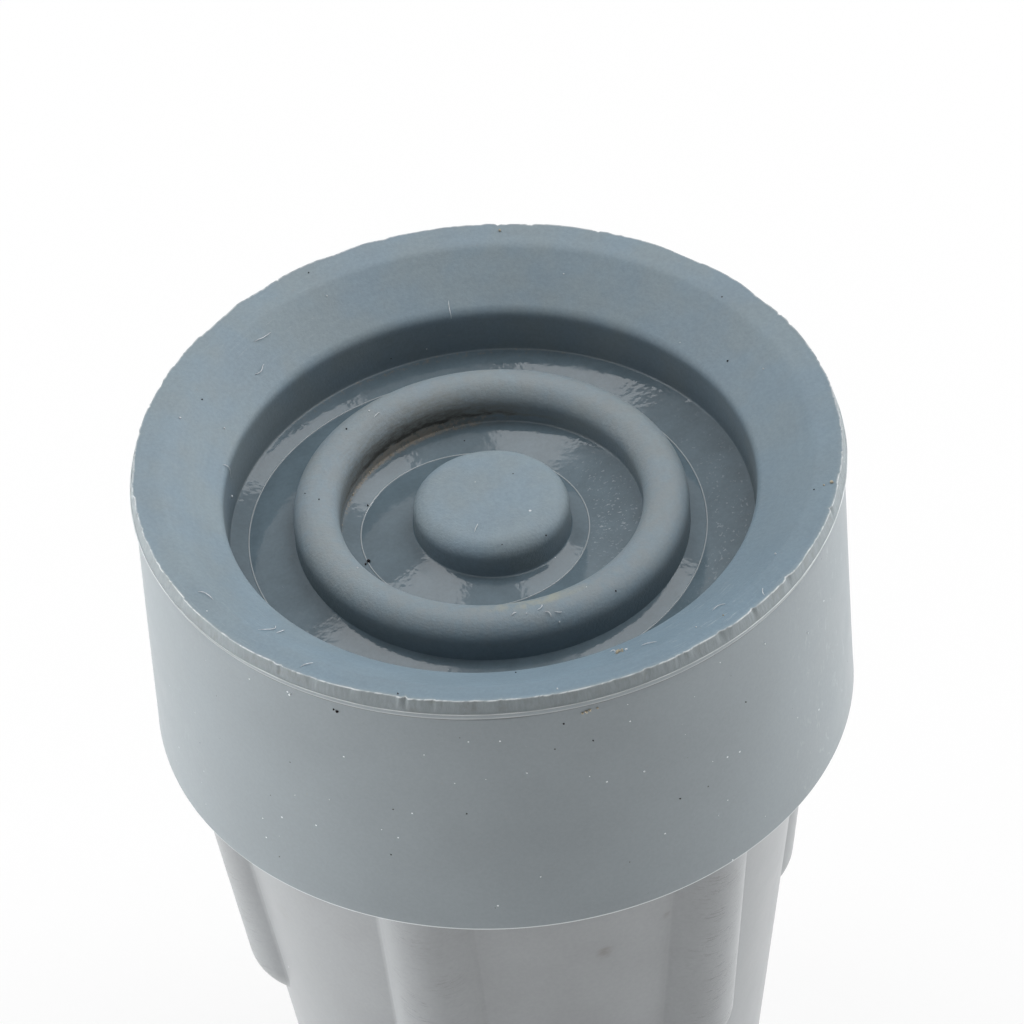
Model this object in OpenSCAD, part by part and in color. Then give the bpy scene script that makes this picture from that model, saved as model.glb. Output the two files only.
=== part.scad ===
// Rubber cane tip: one moulded piece, standing on the mouth of its socket with the tread up.
// +Z runs along the axis towards the tread, the origin is the centre of the socket's mouth,
// and the crest of one rib lies in the +X direction.

/* [Foot] */
// Diameter of the foot's straight side wall
band_d = 39.3; // [36:0.1:46]
// Height of the foot, from its lower edge to the rim of the tread
foot_h = 17.4; // [12:0.1:26]
// How far the trimmed moulding lip stands out past the side wall
lip_out = 0.2; // [0.1:0.05:1]
// How far the lip's edge lies below the rim
lip_drop = 0.85; // [0.3:0.05:3]
// Height of the lip's slanted underside
lip_t = 0.45; // [0.2:0.05:2]
// How far the rim lies inside the lip's edge, across the trimmed bevel
trim_w = 0.17; // [0.1:0.01:1]
// Radius of the round along the foot's lower edge
foot_round = 0.2; // [0.1:0.1:1.5]

/* [Tread] */
// Width of the nearly level land inside the rim
land_w = 1.6; // [0.5:0.1:2.2]
// How far the land falls from the rim to its inner edge
land_drop = 0.3; // [0.1:0.05:0.8]
// How far below the rim the sloping dish meets the wall of the recess
dish_drop = 2.3; // [1.2:0.05:3.2]
// Diameter of the recess where the dish meets its wall
recess_top_d = 29.6; // [29.3:0.1:31]
// Diameter of the recess at the floor; its wall leans in a little
recess_d = 29.2; // [27:0.1:29.3]
// Depth of the creases in the recess floor below the rim
recess_depth = 5.5; // [5:0.1:7]
// Radius of the round where the dish turns down into the recess
recess_round = 0.7; // [0.3:0.1:1.4]
// Diameter of the raised ring, measured along its crest
ring_d = 19.4; // [17.5:0.1:20.5]
// Thickness of the ring, which has a full round on top
ring_t = 2.6; // [2:0.1:3.2]
// Height of the ring above the creases
ring_h = 2.7; // [2.2:0.05:3.2]
// Diameter of the round boss in the middle of the recess
boss_d = 8.7; // [6:0.1:9.5]
// Height of the boss above the creases
boss_h = 2.5; // [1.8:0.05:3.2]
// Radius of the round along the boss's top edge
boss_round = 1; // [0.2:0.1:1.2]

/* [Groove floors] */
// Angle at which the floor of each groove falls to the crease along its middle, in degrees
floor_lean = 12; // [5:0.5:16]
// Diameter of the crease between the ring and the recess wall
outer_crease_d = 25.6; // [24.5:0.1:26]
// Diameter of the crease between the boss and the ring
inner_crease_d = 12.7; // [12:0.1:13.5]
// How far the creases and their sloping floors lie off the axis, towards -X
crease_shift = 0.85; // [0:0.05:1]
// Width of the fine raised line left by the mould along each crease
line_w = 0.2; // [0.1:0.02:0.4]

/* [Neck] */
// Length of the neck, from the foot's lower edge to the mouth of the socket
neck_len = 30.6; // [24:0.1:45]
// Diameter of the neck where it meets the foot
neck_top_d = 34.2; // [30:0.1:36]
// Diameter of the neck at the mouth of the socket
neck_end_d = 25.5; // [24:0.1:28]
// Radius of the round along the outside of the mouth
mouth_round = 0.6; // [0.2:0.1:1.5]

/* [Ribs] */
// Number of ribs round the neck
rib_count = 6; // [2:1:8]
// Width of a rib where it rises from the neck
rib_w = 5.1; // [3:0.1:6]
// Height of a rib's crest above the neck
rib_h = 1.3; // [0.4:0.05:1.5]
// Length of a rib, measured down from the foot
rib_len = 19; // [8:0.5:22]

/* [Socket] */
// Diameter of the socket that takes the shaft
shaft_d = 19; // [14:0.1:20]
// Thickness of rubber between the socket's blind end and the creases
web_t = 6.5; // [3:0.1:12]

/* [Hidden] */
$fn = 96;

band_r = band_d / 2;
lip_r = band_r + lip_out;
rim_r = lip_r - trim_w;
land_r = rim_r - land_w;
recess_top_r = recess_top_d / 2;
recess_r = recess_d / 2;
outer_crease_r = outer_crease_d / 2;
inner_crease_r = inner_crease_d / 2;
neck_top_r = neck_top_d / 2;
mouth_r = neck_end_d / 2;

foot_z = neck_len;
rim_z = neck_len + foot_h;
floor_z = rim_z - recess_depth;
socket_depth = floor_z - web_t;

// Angle by which the dish falls towards the axis, below the horizontal
dish_angle = atan((dish_drop - land_drop) / (land_r - recess_top_r));
// Angle by which the wall of the recess leans in from the vertical
wall_angle = atan((recess_top_r - recess_r) / (recess_depth - dish_drop));
// Angle by which the neck's surface leans in from the vertical
neck_angle = atan((neck_top_r - mouth_r) / neck_len);
// A rib is part of a rod laid in the neck's surface, so that this much of it stands out
rod_r = (rib_w * rib_w / 4 + rib_h * rib_h) / (2 * rib_h);
rod_run = rib_len / cos(neck_angle) - rib_w / 2;
// How far the ribs reach up into the foot, and the socket's cutter below the mouth
root = 1;

// What a round of radius r takes off a corner whose sides leave it at the two angles;
// added instead of cut, it fills an inner corner in the same way
module corner(at, angle_1, angle_2, r) {
    side_1 = [cos(angle_1), sin(angle_1)];
    side_2 = [cos(angle_2), sin(angle_2)];
    half = abs(angle_2 - angle_1) / 2;
    middle = (side_1 + side_2) / norm(side_1 + side_2);
    reach = r / tan(half);
    difference() {
        polygon([at + side_1 * reach, at - middle * r, at + side_2 * reach]);
        translate(at + middle * r / sin(half)) circle(r = r);
    }
}

// Half section of the foot, with the dish and the recess but without what stands in them
module foot_section() {
    difference() {
        polygon([
            [0, foot_z],
            [band_r, foot_z],
            [band_r, rim_z - lip_drop - lip_t],
            [lip_r, rim_z - lip_drop],
            [rim_r, rim_z],
            [land_r, rim_z - land_drop],
            [recess_top_r, rim_z - dish_drop],
            [recess_r, floor_z],
            [0, floor_z]
        ]);
        corner([band_r, foot_z], 90, 180, foot_round);
        corner([recess_top_r, rim_z - dish_drop], dish_angle, -90 - wall_angle, recess_round);
    }
}

// Half section of the ring: straight sides up to a full round
module ring_section() {
    straight_h = ring_h - ring_t / 2;
    translate([ring_d / 2, floor_z + straight_h]) circle(d = ring_t);
    translate([(ring_d - ring_t) / 2, floor_z - root]) square([ring_t, straight_h + root]);
}

// Half section of the boss
module boss_section() {
    top_z = floor_z + boss_h;
    difference() {
        translate([0, floor_z - root]) square([boss_d / 2, boss_h + root]);
        corner([boss_d / 2, top_z], 180, 270, boss_round);
    }
}

// Half section of the sloping floors: two valleys, with their outer ends inside other rubber
module floor_section() {
    ridge_r = (inner_crease_r + outer_crease_r) / 2;
    end_r = recess_r + crease_shift + line_w;
    polygon([
        [0, floor_z - root],
        [0, floor_z + inner_crease_r * tan(floor_lean)],
        [inner_crease_r, floor_z],
        [ridge_r, floor_z + (ridge_r - inner_crease_r) * tan(floor_lean)],
        [outer_crease_r, floor_z],
        [end_r, floor_z + (end_r - outer_crease_r) * tan(floor_lean)],
        [end_r, floor_z - root]
    ]);
    for (r = [inner_crease_r, outer_crease_r])
        translate([r, floor_z]) circle(d = line_w, $fn = 24);
}

module foot() {
    rotate_extrude() {
        foot_section();
        ring_section();
        boss_section();
    }
    translate([-crease_shift, 0, 0]) rotate_extrude() floor_section();
}

module neck() {
    rotate_extrude() {
        difference() {
            polygon([
                [0, 0],
                [mouth_r, 0],
                [neck_top_r, foot_z],
                [0, foot_z]
            ]);
            corner([mouth_r, 0], 90 - neck_angle, 180, mouth_round);
        }
    }
}

// One rib along +X: it runs down the neck's surface and ends in the rod's round end
module rib() {
    translate([neck_top_r, 0, foot_z])
        rotate([0, 180 + neck_angle, 0])
            translate([rod_r - rib_h, 0, 0]) {
                translate([0, 0, -root]) cylinder(r = rod_r, h = rod_run + root);
                translate([0, 0, rod_run]) sphere(r = rod_r);
            }
}

// Blind round hole, open at the mouth
module socket() {
    translate([0, 0, -root]) cylinder(d = shaft_d, h = socket_depth + root);
}

module cane_tip() {
    color([0.49, 0.55, 0.59])
        difference() {
            union() {
                foot();
                neck();
                for (i = [0 : rib_count - 1])
                    rotate([0, 0, i * 360 / rib_count]) rib();
            }
            socket();
        }
}

cane_tip();
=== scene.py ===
"""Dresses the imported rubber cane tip: its tread, the side of its foot, its ribbed neck with the
socket, and the lint and grit that lie on it, on a pale floor in soft studio light.

Lengths are metres, +Z runs up the axis to the tread, and bearings are degrees round +Z from +X.
"""

import math

import bmesh
import bpy
import numpy as np
from bpy.props import FloatProperty, FloatVectorProperty, IntProperty, PointerProperty
from mathutils import Matrix, Vector
from mathutils.bvhtree import BVHTree


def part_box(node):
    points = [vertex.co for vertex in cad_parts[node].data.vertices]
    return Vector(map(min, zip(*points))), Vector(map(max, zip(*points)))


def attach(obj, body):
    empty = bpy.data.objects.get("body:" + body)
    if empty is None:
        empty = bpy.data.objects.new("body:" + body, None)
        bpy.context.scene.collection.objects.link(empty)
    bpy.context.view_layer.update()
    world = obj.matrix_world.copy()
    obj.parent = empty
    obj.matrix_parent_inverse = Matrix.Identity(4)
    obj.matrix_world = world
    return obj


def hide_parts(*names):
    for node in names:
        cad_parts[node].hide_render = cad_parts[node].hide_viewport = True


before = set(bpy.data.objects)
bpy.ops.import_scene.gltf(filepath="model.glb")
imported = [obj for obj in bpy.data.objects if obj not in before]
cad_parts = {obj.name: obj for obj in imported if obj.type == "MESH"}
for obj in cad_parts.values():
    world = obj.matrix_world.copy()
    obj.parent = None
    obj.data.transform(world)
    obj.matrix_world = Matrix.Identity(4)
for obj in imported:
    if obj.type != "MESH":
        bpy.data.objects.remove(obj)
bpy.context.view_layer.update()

bl_info = {
    "name": "Rubber Cane Tip",
    "version": (1, 0, 0),
    "blender": (4, 5, 0),
    "location": "3D View > Sidebar > Cane Tip",
    "description": "Builds a moulded rubber cane tip with its wear and dirt, and a pale studio",
    "category": "Object",
}

MM = 0.001
NODE = "cane_tip"
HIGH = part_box(NODE)[1]
RIM_Z = HIGH.z
LIP_RADIUS = HIGH.x
# How far the neck and the foot's underside run into each other
OVERLAP = 0.3 * MM
# Radius of the last row before the point that closes an end
TIP_RADIUS = 0.05 * MM


# ---------------------------------------------------------------- sizes and colours


def length(name, description, default):
    """A length in millimetres, kept as metres."""
    return FloatProperty(name=name, description=description, default=default * MM, min=0,
                         precision=5, unit="LENGTH", subtype="DISTANCE")


def angle(name, description, default):
    """An angle in degrees, kept as radians."""
    return FloatProperty(name=name, description=description, default=math.radians(default),
                         unit="ROTATION", subtype="ANGLE")


def colour(name, description, default):
    """A colour, given as the eight-bit display values of a swatch."""
    linear = [((v / 255 + 0.055) / 1.055) ** 2.4 for v in default]
    return FloatVectorProperty(name=name, description=description, default=linear, min=0,
                               max=1, size=3, subtype="COLOR")


class TreadSizes(bpy.types.PropertyGroup):
    """The face that stands on the ground: land, dish, recess, ring and boss."""

    land_width: length("Land Width", "Width of the nearly level land inside the rim", 1.6)
    land_drop: length("Land Drop", "How far the land falls from the rim to its inner edge", 0.3)
    dish_depth: length("Dish Depth", "How far below the rim the dish meets the recess", 2.36)
    recess_top_radius: length("Recess Top Radius", "Radius where the dish meets the wall", 14.82)
    recess_radius: length("Recess Radius", "Radius at the foot of the recess wall", 14.63)
    recess_round: length("Recess Round", "Round where the dish turns down the wall", 0.75)
    floor_depth: length("Floor Depth", "Mean depth of the walls' feet below the rim", 5.1)
    crease_depth: length("Crease Depth", "How far below the rim the creases lie", 5.52)
    floor_lean: angle("Floor Lean", "Angle at which a groove's floor falls to its crease", 12)
    outer_crease_radius: length("Outer Crease Radius", "Crease outside the ring", 12.75)
    inner_crease_radius: length("Inner Crease Radius", "Crease inside the ring", 6.36)
    outer_crease_shift: length("Outer Crease Shift", "How far it lies off the axis", 0.85)
    inner_crease_shift: length("Inner Crease Shift", "How far it lies off the axis", 1.0)
    crease_line: length("Crease Line", "Width of the fine raised line along a crease", 0.11)
    ring_radius: length("Ring Radius", "Radius of the ring's crest", 9.72)
    ring_width: length("Ring Width", "Thickness of the ring", 2.56)
    ring_height: length("Ring Height", "Height of the ring above the floor's edges", 2.33)
    boss_radius: length("Boss Radius", "Radius of the boss in the middle", 4.38)
    boss_height: length("Boss Height", "Height of the boss above the floor's edges", 2.1)
    boss_round: length("Boss Round", "Round along the boss's top edge", 1.08)
    foot_fillet: length("Foot Fillet", "Round where a wall meets the floor", 0.12)


class FootSizes(bpy.types.PropertyGroup):
    """The side of the foot, from the trimmed rim down to the neck."""

    height: length("Foot Height", "From the foot's lower edge to the rim", 17.4)
    lip_out: length("Lip", "How far the moulding lip stands out past the side wall", 0.2)
    lip_drop: length("Lip Drop", "How far the lip's edge lies below the rim", 0.85)
    lip_height: length("Lip Height", "Height of the lip's slanted underside", 0.45)
    trim_width: length("Trim Width", "How far the rim lies inside the lip's edge", 0.17)
    tear_depth: length("Tear Depth", "How far the torn rim wanders in from its circle", 0.17)
    lower_round: length("Lower Round", "Round along the foot's lower edge", 0.2)


class NeckSizes(bpy.types.PropertyGroup):
    """The neck with its ribs, and the socket inside it."""

    top_radius: length("Top Radius", "Radius of the neck where it meets the foot", 17.1)
    mouth_radius: length("Mouth Radius", "Radius of the neck at the socket's mouth", 12.75)
    mouth_round: length("Mouth Round", "Round along the outside of the mouth", 0.6)
    rib_count: IntProperty(name="Ribs", description="Ribs round the neck", default=6, min=2)
    rib_width: length("Rib Width", "Width of a rib where it rises from the neck", 5.1)
    rib_height: length("Rib Height", "Height of a rib's crest above the neck", 1.3)
    rib_length: length("Rib Length", "Length of a rib, down from the foot", 19)
    socket_radius: length("Socket Radius", "Radius of the hole for the shaft", 9.5)
    socket_depth: length("Socket Depth", "Depth of the hole for the shaft", 36)


class RubberColours(bpy.types.PropertyGroup):
    """The rubber and what has settled on it; some of these colours also paint shade and
    highlights.
    """

    rubber: colour("Rubber", "The moulded rubber", (128, 146, 158))
    groove: colour("Groove", "The darker polished rubber of the grooves", (103, 120, 130))
    foot: colour("Foot Side", "The rubber on the foot's side", (127, 135, 139))
    neck: colour("Neck", "The rubber on the neck", (140, 143, 145))
    trimmed: colour("Trimmed Edge", "The cut rubber along the rim", (130, 138, 141))
    # The pale colour also paints highlights on the foot's lip, its lower edge and the creases'
    # raised lines.
    torn_and_glint: colour("Torn Rubber", "Thin rubber that has been pulled and torn", (214, 219, 221))
    # These two dark colours also paint the shade under the foot's lip.
    stain_and_shade: colour("Stain", "Dark dirt that was pressed into a corner", (34, 30, 24))
    brown: colour("Brown Dirt", "The thin edge of the dirt", (98, 92, 80))
    crust: colour("Crust", "Dried pale mud", (138, 130, 119))
    dust: colour("Dust", "Fine dust that dulls the ring", (136, 139, 138))
    yellow: colour("Yellow Mark", "A yellowed mark", (166, 166, 146))
    mud: colour("Mud Crumbs", "Crumbs of dried mud", (178, 169, 150))
    lint: colour("Lint", "Textile fibres", (222, 226, 230))
    grit: colour("Grit", "Dark crumbs", (30, 26, 28))


class StudioSettings(bpy.types.PropertyGroup):
    """The camera and the lights."""

    distance: length("Camera Distance", "From the rim's centre to the camera", 496.2)
    bearing: angle("Camera Bearing", "Where the camera stands, round the axis", -100.2)
    height: angle("Camera Height", "Angle of the camera above the rim", 41.98)
    roll: angle("Camera Roll", "Turn of the camera about its line of sight", -4.606)
    rim_left: angle("Rim Left", "How far left of the view's middle the rim lies", 0.1578)
    rim_up: angle("Rim Up", "How far above the view's middle the rim lies", 0.361)
    lens: length("Lens", "Focal length on a 36 mm sensor", 316.4)
    sky: FloatProperty(name="Sky", description="Strength of the light from all round",
                       default=0.31, min=0, max=5)


SETTINGS = {
    "cane_tip_tread": TreadSizes,
    "cane_tip_foot": FootSizes,
    "cane_tip_neck": NeckSizes,
    "cane_tip_colours": RubberColours,
    "cane_tip_studio": StudioSettings,
}


# ---------------------------------------------------------------- meshes


def turns(count):
    """Evenly spaced bearings once round, in radians."""
    return np.arange(count) * (2 * math.pi / count)


def near_bearing(turn, middle, half_width):
    """1 at a bearing in degrees, falling smoothly to 0 at half_width degrees to either side."""
    away = np.abs((turn - math.radians(middle) + math.pi) % (2 * math.pi) - math.pi)
    t = np.clip(1 - away / math.radians(half_width), 0, 1)
    return t * t * (3 - 2 * t)


def ripple(turn, across, finest, seed, terms=14, slant=0.0):
    """Smooth unevenness of about +-1 round the piece; finest is its most waves in one turn."""
    draw = np.random.default_rng(seed)
    total = np.zeros(np.broadcast(turn, across).shape)
    for _ in range(terms):
        waves = draw.integers(2, finest)
        lean = draw.normal(0, slant) if slant else 0
        total += draw.normal() * np.cos(
            waves * turn + lean * across + draw.uniform(0, 2 * math.pi)
        )
    return total / math.sqrt(terms)


def torn_line(turn, steps, seed):
    """0 to 1 round the piece in short uneven runs with a sharp step after each, like a tear."""
    step_width = 0.0015
    draw = np.random.default_rng(seed)
    at = np.sort(draw.uniform(0, 2 * math.pi, steps))
    after = draw.random(steps) ** 2
    before = after + draw.normal(0, 0.25, steps)
    spots = np.ravel(np.column_stack([at, at + step_width]))
    depth = np.ravel(np.column_stack([before, after]))
    return np.clip(np.interp(turn, spots, depth, period=2 * math.pi), 0, 1)


def between(row, first, last):
    """Which rows lie past the first and before the last."""
    return (row > first) & (row < last)


def rounded_profile(turn, corners):
    """Rows of (radius, height) at every bearing, and the number of each corner's last row.

    A corner gives its radius and height, alike all round or one for each bearing, then the
    rows that lead to it, and where it is rounded the radius of the round and its rows.
    """
    points = np.array([
        np.column_stack(np.broadcast_arrays(radius, height, turn)[:2])
        for radius, height, *_ in corners
    ])
    starts, ends = points.copy(), points.copy()
    arcs = {}
    for i, (_, _, _, *rounding) in enumerate(corners):
        if not rounding:
            continue
        size, steps = rounding
        here = points[i]
        back, on = points[i - 1] - here, points[i + 1] - here
        back_length = np.linalg.norm(back, axis=-1, keepdims=True)
        on_length = np.linalg.norm(on, axis=-1, keepdims=True)
        back, on = back / back_length, on / on_length
        half = np.arccos(np.clip((back * on).sum(-1, keepdims=True), -1, 1)) / 2
        reach = np.minimum(size / np.tan(half), 0.499 * np.minimum(back_length, on_length))
        starts[i], ends[i] = here + back * reach, here + on * reach
        t = np.linspace(0, 1, steps + 2)[1:-1, None, None]
        low, mid, high = (1 - t) ** 2, 2 * t * (1 - t) * np.sin(half), t**2
        arcs[i] = (low * starts[i] + mid * here + high * ends[i]) / (low + mid + high)
    rows, last = [points[:1]], [0]
    for i in range(1, len(corners)):
        t = np.linspace(0, 1, corners[i][2] + 1)[1:, None, None]
        rows.append(ends[i - 1] * (1 - t) + starts[i] * t)
        if i in arcs:
            rows += [arcs[i], ends[i][None]]
        last.append(sum(map(len, rows)) - 1)
    return np.concatenate(rows), last


def lathe(name, rows, turn, materials, marks, second=None, sharp_rows=(), sharp_columns=None,
          cap=None):
    """Joins rows of (radius, height) into a piece, with the rubber below or inside its faces.

    turn holds the bearings, one for each column or for each row and column. marks are named
    values that the finish reads, and a mark that isn't given is nothing. second says of each
    row whether the strip from it to the next has the second material, and cap closes the
    first or the last row with a point on the axis.
    """
    count, columns = rows.shape[:2]
    turn = np.broadcast_to(turn, (count, columns))
    radius, height = rows[..., 0], rows[..., 1]
    points = np.stack([radius * np.cos(turn), radius * np.sin(turn), height], -1).reshape(-1, 3)
    here = np.arange(count * columns).reshape(count, columns)
    beside = np.roll(here, -1, 1)
    faces = np.stack([here[:-1], beside[:-1], beside[1:], here[1:]], -1).reshape(-1, 4).tolist()
    strips = np.repeat(np.arange(count - 1), columns)
    if cap:
        row = 0 if cap == "first" else count - 1
        tip = len(points)
        points = np.vstack([points, [0, 0, height[row].mean()]])
        faces += [(tip, b, a) if cap == "first" else (a, b, tip)
                  for a, b in zip(here[row].tolist(), beside[row].tolist())]
        strips = np.append(strips, np.full(columns, min(row, count - 2)))
    mesh = bpy.data.meshes.new(name)
    mesh.from_pydata(points, [], faces)
    for material in materials:
        mesh.materials.append(material)
    if second is not None:
        picked = np.ravel(second)[strips].astype(np.int32)
        mesh.polygons.foreach_set("material_index", picked)
    mesh.shade_smooth()
    sharpen(mesh, count, columns, sharp_rows, sharp_columns)
    for mark, values in marks.items():
        flat = np.broadcast_to(values, (count, columns)).ravel().astype(np.float32)
        flat = np.pad(flat, (0, len(points) - len(flat)), mode="edge")
        mesh.attributes.new(mark, "FLOAT", "POINT").data.foreach_set("value", flat)
    mesh.validate()
    stand_for_rubber(place(bpy.data.objects.new(name, mesh)))


def sharpen(mesh, count, columns, sharp_rows, sharp_columns):
    """Marks the edges along some rows, and those down from some points, as sharp."""
    edges = np.empty((len(mesh.edges), 2), np.int32)
    mesh.edges.foreach_get("vertices", edges.ravel())
    row, column = edges // columns, edges % columns
    along = row[:, 0] == row[:, 1]
    sharp = along & np.isin(row[:, 0], sharp_rows)
    if sharp_columns is not None:
        down = (column[:, 0] == column[:, 1]) & ~along & (row.max(1) < count)
        sharp |= down & sharp_columns[row.min(1), column[:, 0]]
    mesh.attributes.new("sharp_edge", "BOOLEAN", "EDGE").data.foreach_set("value", sharp)


def place(piece):
    """Links a piece and lets it ride on the part's one body."""
    bpy.context.scene.collection.objects.link(piece)
    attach(piece, "root")
    return piece


def stand_for_rubber(piece):
    """This piece shows the moulded rubber in place of its plain solid."""
    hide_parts(NODE)


# ---------------------------------------------------------------- finishes


class Nodes:
    """A tree of nodes, laid out left to right as they are added."""

    def __init__(self, tree):
        self.tree = tree
        self.tree.nodes.clear()
        self.column = 0

    def node(self, kind, **settings):
        """Adds a node to the right of the last one."""
        made = self.tree.nodes.new(kind)
        made.location = (self.column * 180, -(self.column % 3) * 120)
        self.column += 1
        for key, value in settings.items():
            setattr(made, key, value)
        return made

    def link(self, source, target):
        """Links an output to an input."""
        self.tree.links.new(source, target)

    def feed(self, socket, value):
        """Sets a socket to a number or a colour, or links it to another socket."""
        if isinstance(value, bpy.types.NodeSocket):
            self.link(value, socket)
        elif isinstance(value, tuple):
            socket.default_value = value[: len(socket.default_value)]
        else:
            socket.default_value = value

    def math(self, operation, first, second, clamp=False):
        """A sum or another simple operation on two values."""
        made = self.node("ShaderNodeMath", operation=operation, use_clamp=clamp)
        for socket, value in zip(made.inputs, (first, second)):
            self.feed(socket, value)
        return made.outputs[0]

    def seen_plainly(self):
        """1 for the rays of the camera, of gloss and of glass, and 0 for those that light."""
        path = self.node("ShaderNodeLightPath").outputs
        seen = self.math("MAXIMUM", path["Is Camera Ray"], path["Is Glossy Ray"])
        return self.math("MAXIMUM", seen, path["Is Transmission Ray"])

    def blend(self, amount, under, over, target):
        """Links two shaders, mixed by an amount, to a socket."""
        made = self.node("ShaderNodeMixShader")
        for socket, source in zip(made.inputs, (amount, under, over)):
            self.link(source, socket)
        self.link(made.outputs[0], target)


class Finish(Nodes):
    """A material's nodes, from the piece's own coordinates to its surface."""

    def __init__(self, name):
        self.material = bpy.data.materials.new(name)
        self.material.use_nodes = True
        super().__init__(self.material.node_tree)
        self.shader = self.node("ShaderNodeBsdfPrincipled")
        self.output = self.node("ShaderNodeOutputMaterial")
        self.link(self.shader.outputs[0], self.output.inputs[0])
        self.place = self.node("ShaderNodeTexCoord").outputs["Object"]

    def spread(self, value, low, high, to_low=0.0, to_high=1.0, smooth=True):
        """Maps low..high to to_low..to_high, and holds it at both ends."""
        made = self.node("ShaderNodeMapRange", clamp=True)
        made.interpolation_type = "SMOOTHSTEP" if smooth else "LINEAR"
        for socket, number in zip(made.inputs, (value, low, high, to_low, to_high)):
            self.feed(socket, number)
        return made.outputs[0]

    def vector(self, operation, first, second=(0, 0, 0)):
        """A simple operation on vectors, of which a length comes out as one number."""
        made = self.node("ShaderNodeVectorMath", operation=operation)
        self.feed(made.inputs[0], first)
        self.feed(made.inputs[1], second)
        return made.outputs["Value"] if operation == "LENGTH" else made.outputs[0]

    def mottled(self, clouds, darkest, palest, grain, fine):
        """A tone that clouds take from darkest to palest, and grain by up to fine either way."""
        return self.math("ADD", self.spread(clouds, 0.3, 0.7, darkest, palest),
                         self.spread(grain, 0.25, 0.75, -fine, fine))

    def circular(self, along, across):
        """Coordinates in cells of these sizes, along circles round the axis and across them."""
        flat = self.vector("MULTIPLY", self.place, (1, 1, 0))
        up = self.node("ShaderNodeSeparateXYZ")
        self.link(self.place, up.inputs[0])
        level = self.math("ADD", self.vector("LENGTH", flat), up.outputs["Z"])
        around = self.shade(self.vector("NORMALIZE", flat), LIP_RADIUS / along)
        joined = self.node("ShaderNodeCombineXYZ")
        self.link(self.math("DIVIDE", level, across), joined.inputs["Z"])
        return self.vector("ADD", around, joined.outputs[0])

    def noise(self, size, detail, rough=0.5, place=None, warp=0.0):
        """Noise of about 0..1 whose lumps are about size across, in metres or in cells."""
        made = self.node("ShaderNodeTexNoise")
        self.feed(made.inputs["Vector"], place or self.place)
        made.inputs["Scale"].default_value = 1 / size
        made.inputs["Detail"].default_value = detail
        made.inputs["Roughness"].default_value = rough
        made.inputs["Distortion"].default_value = warp
        return made.outputs["Fac"]

    def specks(self, spacing, largest, empty, place=None):
        """Round specks of random size, one in each cell but for the share that stays empty."""
        made = self.node("ShaderNodeTexVoronoi")
        self.feed(made.inputs["Vector"], place or self.place)
        made.inputs["Scale"].default_value = 1 / spacing
        pick = self.node("ShaderNodeSeparateColor")
        self.link(made.outputs["Color"], pick.inputs[0])
        size = self.spread(pick.outputs[0], empty, 1, 0, largest / spacing, smooth=False)
        return self.math("LESS_THAN", made.outputs["Distance"], size)

    def mark(self, name):
        """A named value that the mesh carries."""
        return self.node("ShaderNodeAttribute", attribute_name=name).outputs["Fac"]

    def mix(self, amount, under, over):
        """Lays one colour over another."""
        made = self.node("ShaderNodeMix", data_type="RGBA")
        factor, *colours = (made.inputs[i] for i in (0, 6, 7))
        self.feed(factor, amount)
        for socket, value in zip(colours, (under, over)):
            self.feed(socket, value)
        return made.outputs[2]

    def shade(self, base, amount):
        """Darkens or lightens a colour by a factor."""
        made = self.node("ShaderNodeVectorMath", operation="SCALE")
        self.feed(made.inputs[0], base)
        self.feed(made.inputs["Scale"], amount)
        return made.outputs[0]

    def bump(self, height, strength, depth, normal=None):
        """A surface normal that a height of this depth bends, on top of another one."""
        made = self.node("ShaderNodeBump")
        made.inputs["Strength"].default_value = strength
        made.inputs["Distance"].default_value = depth
        self.link(height, made.inputs["Height"])
        if normal is not None:
            self.link(normal, made.inputs["Normal"])
        return made.outputs[0]

    def finish(self, base, roughness, normal=None, specular=0.5):
        """Feeds the shader and gives the material."""
        self.feed(self.shader.inputs["Base Color"], base)
        self.feed(self.shader.inputs["Roughness"], roughness)
        self.shader.inputs["Specular IOR Level"].default_value = specular
        if normal is not None:
            self.link(normal, self.shader.inputs["Normal"])
        return self.material


def rgba(swatch, tint=(1, 1, 1)):
    """A colour property as four numbers, with its red, green and blue each times the tint's."""
    return (*(c * t for c, t in zip(swatch, tint)), 1.0)


def soiled(f, base):
    """Lays the mesh's marks over a colour: dust, yellowing, dirt, dried mud, pulled rubber, and
    painted shade and highlights.
    """
    colours = bpy.context.scene.cane_tip_colours
    patchy = f.spread(f.noise(0.9 * MM, 5, 0.65), 0.3, 0.68)
    base = f.mix(f.math("MULTIPLY", f.mark("dust"), f.spread(patchy, 0, 1, 0.2, 0.5)),
                 base, rgba(colours.dust))
    base = f.mix(f.math("MULTIPLY", f.mark("yellow"), patchy), base, rgba(colours.yellow))
    streaks = f.noise(1, 5, 0.7, f.circular(1.5 * MM, 0.22 * MM))
    # Dark dirt on the ring and the neck; under the foot's lip the same mark paints shade.
    dirt = f.math("MULTIPLY", f.mark("stain_and_shade"), f.spread(streaks, 0.28, 0.7, 0.55, 1.25))
    base = f.mix(f.spread(dirt, 0.02, 0.6, 0, 0.6), base, rgba(colours.brown))
    base = f.mix(f.spread(dirt, 0.35, 1.0, 0, 0.88), base, rgba(colours.stain_and_shade))
    lumps = f.spread(f.noise(0.28 * MM, 4, 0.75), 0.2, 0.8, -0.6, 0.6)
    mud = f.spread(f.math("ADD", f.mark("crust"), lumps), 0.35, 0.8, 0, 0.62)
    base = f.mix(mud, base, rgba(colours.crust))
    # Pulled pale rubber, and painted highlights on the foot's lip and lower edge.
    return f.mix(f.mark("torn_and_glint"), base, rgba(colours.torn_and_glint))


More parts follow.
